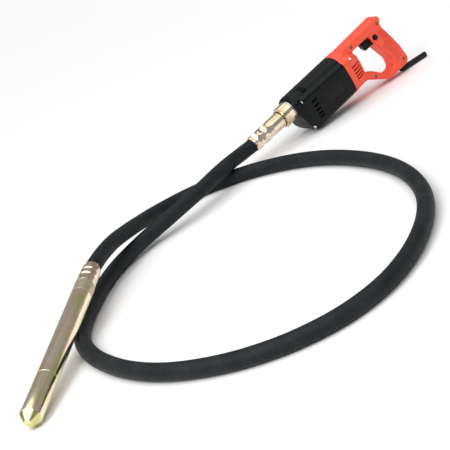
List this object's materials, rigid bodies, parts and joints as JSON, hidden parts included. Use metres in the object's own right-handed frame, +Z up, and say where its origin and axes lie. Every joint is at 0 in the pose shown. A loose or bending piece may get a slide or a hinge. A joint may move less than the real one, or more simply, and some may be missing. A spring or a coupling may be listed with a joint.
{
  "type": "concrete vibrator",
  "caption": "Portable concrete vibrator: a D-handled electric motor unit with a screwed coupling turns a flexible shaft in a looped rubber hose, which drives a steel poker head with a cone tip.",
  "frame": {"origin": "on the floor, under the centre of the box around the motor unit and the poker head, hose not counted", "axes": "+X along the motor unit's heading, from its nose to its handle; +Z up from the floor that everything lies on; the poker head points away towards -X and -Y"},
  "size_m": [1.2275, 0.8508, 0.1358],
  "materials": {
    "black_plastic": "satin moulded glass-filled nylon",
    "orange_plastic": "satin moulded nylon",
    "black_rubber": "matt wrapped rubber",
    "yellow_zinc": "bright, yellow chromated zinc",
    "bright_steel": "machined",
    "laminated_iron": "dull",
    "copper": "lacquered copper",
    "brass": "plain",
    "carbon": "matt carbon",
    "aluminium": "as cast"
  },
  "bodies": {
    "motor_body": {"armature_front_bearing": "bright_steel", "armature_rear_bearing": "bright_steel", "bearing_plate": "aluminium", "brush_holder_left": "brass", "brush_holder_right": "brass", "carbon_brush_left": "carbon", "carbon_brush_right": "carbon", "cord_clamp": "black_plastic", "cord_sleeve": "black_rubber", "end_bracket": "black_plastic", "field_coil_front": "copper", "field_coil_rear": "copper", "flexible_shaft": "bright_steel", "handle_screw_1": "bright_steel", "handle_screw_2": "bright_steel", "handle_screw_3": "bright_steel", "handle_screw_4": "bright_steel", "handle_screw_5": "bright_steel", "handle_shell_left": "orange_plastic", "handle_shell_right": "orange_plastic", "head_collar": "yellow_zinc", "head_coupler": "yellow_zinc", "head_front_bearing": "bright_steel", "head_nose": "yellow_zinc", "head_rear_bearing": "bright_steel", "head_tube": "yellow_zinc", "hose": "black_rubber", "hose_ferrule": "yellow_zinc", "motor_housing": "black_plastic", "nose_screw_1": "bright_steel", "nose_screw_2": "bright_steel", "nose_screw_3": "bright_steel", "nose_screw_4": "bright_steel", "nose_washer": "bright_steel", "oil_seal": "black_rubber", "spindle_front_bearing": "bright_steel", "spindle_rear_bearing": "bright_steel", "stator_core": "laminated_iron", "switch_body": "black_plastic", "threaded_spigot": "bright_steel"},
    "armature": {"armature_shaft": "bright_steel", "armature_core": "laminated_iron", "commutator": "copper", "cooling_fan": "black_plastic", "pinion_gear": "bright_steel"},
    "spindle": {"output_spindle": "bright_steel", "driven_gear": "laminated_iron", "drive_tip": "bright_steel"},
    "head_rotor": {"eccentric_rotor": "bright_steel", "shaft_coupling": "bright_steel"},
    "nut": {"coupling_nut": "yellow_zinc"},
    "trigger": {"trigger": "black_plastic"},
    "lock_button": {"lock_button": "black_plastic"}
  },
  "joints": [
    {"name": "armature_spin", "type": "hinge", "parent": "motor_body", "child": "armature", "pos_m": [0.26727, 0.2112, 0.03866], "axis": [-0.9848, 0, -0.1736], "continuous": true},
    {"name": "spindle_spin", "type": "hinge", "parent": "motor_body", "child": "spindle", "pos_m": [0.2631, 0.2112, 0.0623], "axis": [-0.9848, 0, -0.1736], "continuous": true},
    {"name": "rotor_spin", "type": "hinge", "parent": "motor_body", "child": "head_rotor", "pos_m": [-0.6089, -0.2441, 0.0161], "axis": [-0.7117, -0.6921, -0.1201], "continuous": true},
    {"name": "nut_turn", "type": "hinge", "parent": "motor_body", "child": "nut", "pos_m": [0.2631, 0.2112, 0.0623], "axis": [-0.9848, 0, -0.1736], "range_deg": [0, 1800]},
    {"name": "trigger_squeeze", "type": "slide", "parent": "motor_body", "child": "trigger", "axis": [0.9848, 0, 0.1736], "range_m": [0, 0.006], "stiffness_N_per_m": 800, "springref_m": -0.002},
    {"name": "lock_button_press", "type": "slide", "parent": "motor_body", "child": "lock_button", "axis": [0, 1, 0], "range_m": [0, 0.003], "stiffness_N_per_m": 600, "springref_m": -0.001}
  ],
  "couplings": [
    {"joint": "spindle_spin", "follows": "armature_spin", "ratio": -0.2},
    {"joint": "rotor_spin", "follows": "armature_spin", "ratio": -0.2}
  ]
}
